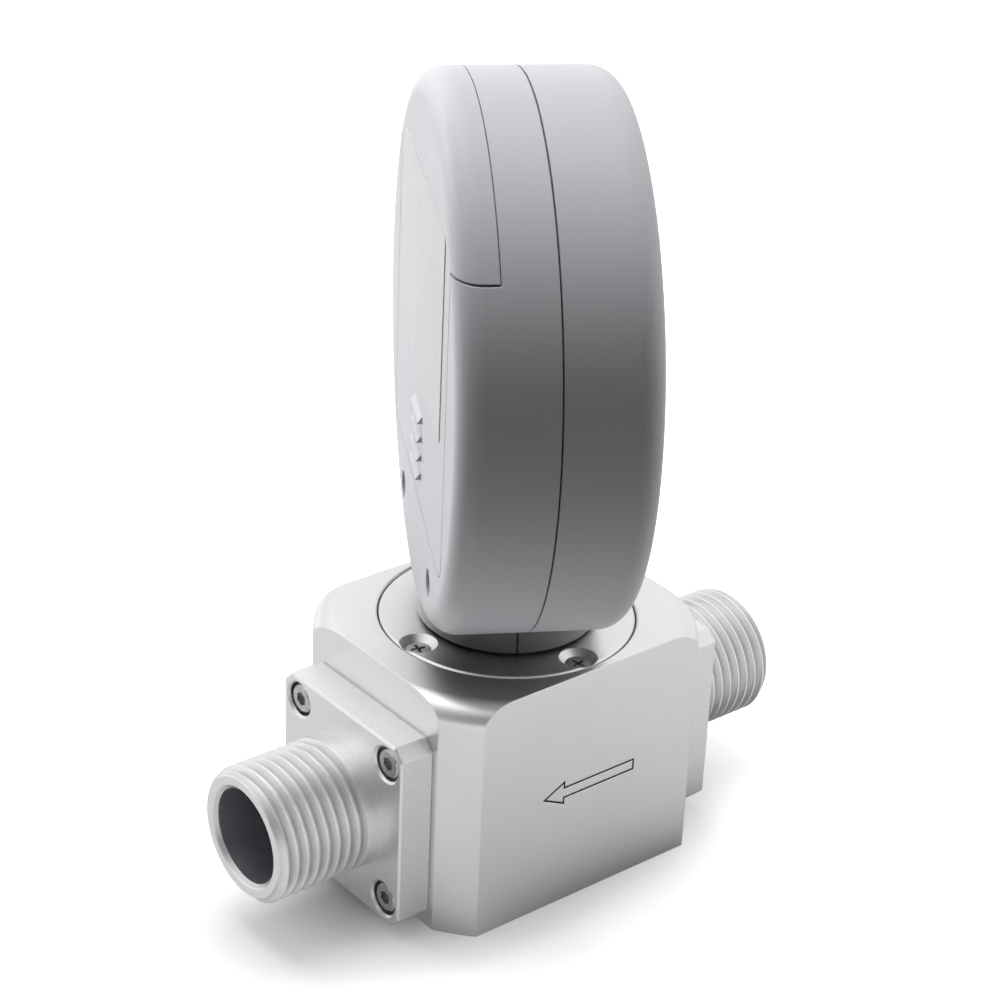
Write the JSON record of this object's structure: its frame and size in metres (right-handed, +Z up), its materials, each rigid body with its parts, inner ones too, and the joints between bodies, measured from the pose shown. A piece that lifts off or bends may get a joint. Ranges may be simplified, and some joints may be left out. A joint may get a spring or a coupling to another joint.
{
  "type": "gas mass flow meter",
  "caption": "In-line gas mass flow meter: block body with flanged male pipe fittings and a round swivelling display head with a sliding battery cover.",
  "frame": {"origin": "on the base plane, under the middle of the block, on the display head's swivel axis", "axes": "+X along the pipe against the flow (gas leaves at -X), +Z up, -Y the side with the flow arrow"},
  "size_m": [0.0968, 0.0819, 0.1238],
  "materials": {
    "body_aluminium": "fine satin, bead blasted",
    "fitting_aluminium": "bead blasted",
    "screw_steel": "bright stainless",
    "rubber_black": "matt",
    "moulded_white": "matt",
    "moulded_black": "matt, glass filled",
    "mesh_steel": "satin",
    "housing_grey": "fine satin",
    "label_film": "matt film",
    "board_green": "solder mask",
    "chip_black": "moulded epoxy",
    "lcd_glass": "satin glass",
    "window_clear": "clear",
    "panel_dark": "printed film",
    "key_rubber": "matt silicone",
    "cell_jacket": "shrink film",
    "contact_steel": "nickel plated",
    "wire_jacket": "pvc"
  },
  "bodies": {
    "meter_body": {"flow_body": "body_aluminium", "outlet_fitting": "fitting_aluminium", "inlet_fitting": "fitting_aluminium", "outlet_seal": "rubber_black", "inlet_seal": "rubber_black", "outlet_screws": "screw_steel", "inlet_screws": "screw_steel", "flow_nozzle": "moulded_black", "flow_straightener": "mesh_steel", "retaining_ring": "screw_steel", "sensor_carrier": "moulded_black", "sensor_seal": "rubber_black", "sensor_chip": "chip_black", "sensor_board": "board_green", "top_plate": "body_aluminium", "top_plate_seal": "rubber_black", "top_plate_screws": "screw_steel", "swivel_collar": "mesh_steel", "swivel_seal": "rubber_black", "stop_pin": "screw_steel"},
    "display_head": {"rear_shell": "housing_grey", "front_shell": "housing_grey", "housing_seal": "rubber_black", "housing_screws": "screw_steel", "batteries": "cell_jacket", "battery_contacts": "contact_steel", "battery_springs": "contact_steel", "main_board": "board_green", "board_screws": "screw_steel", "lcd_module": "lcd_glass", "display_window": "window_clear", "front_panel": "panel_dark", "key_switches": "chip_black", "cable_connector": "moulded_white", "sensor_cable": "wire_jacket"},
    "battery_cover": {"battery_cover": "housing_grey", "cover_label": "label_film"},
    "key_left": {"key_left": "key_rubber"},
    "key_middle": {"key_middle": "key_rubber"},
    "key_right": {"key_right": "key_rubber"}
  },
  "joints": [
    {"name": "head_swivel", "type": "hinge", "parent": "meter_body", "child": "display_head", "pos_m": [0, 0, 0.0397], "axis": [0, 0, 1], "range_deg": [-149.5, 30.5]},
    {"name": "cover_slide", "type": "slide", "parent": "display_head", "child": "battery_cover", "axis": [0, 0, 1], "range_m": [0, 0.044]},
    {"name": "key_left_press", "type": "slide", "parent": "display_head", "child": "key_left", "axis": [-0.8616, 0.5075, 0], "range_m": [0, 0.0008], "stiffness_N_per_m": 1500},
    {"name": "key_middle_press", "type": "slide", "parent": "display_head", "child": "key_middle", "axis": [-0.8616, 0.5075, 0], "range_m": [0, 0.0008], "stiffness_N_per_m": 1500},
    {"name": "key_right_press", "type": "slide", "parent": "display_head", "child": "key_right", "axis": [-0.8616, 0.5075, 0], "range_m": [0, 0.0008], "stiffness_N_per_m": 1500}
  ]
}
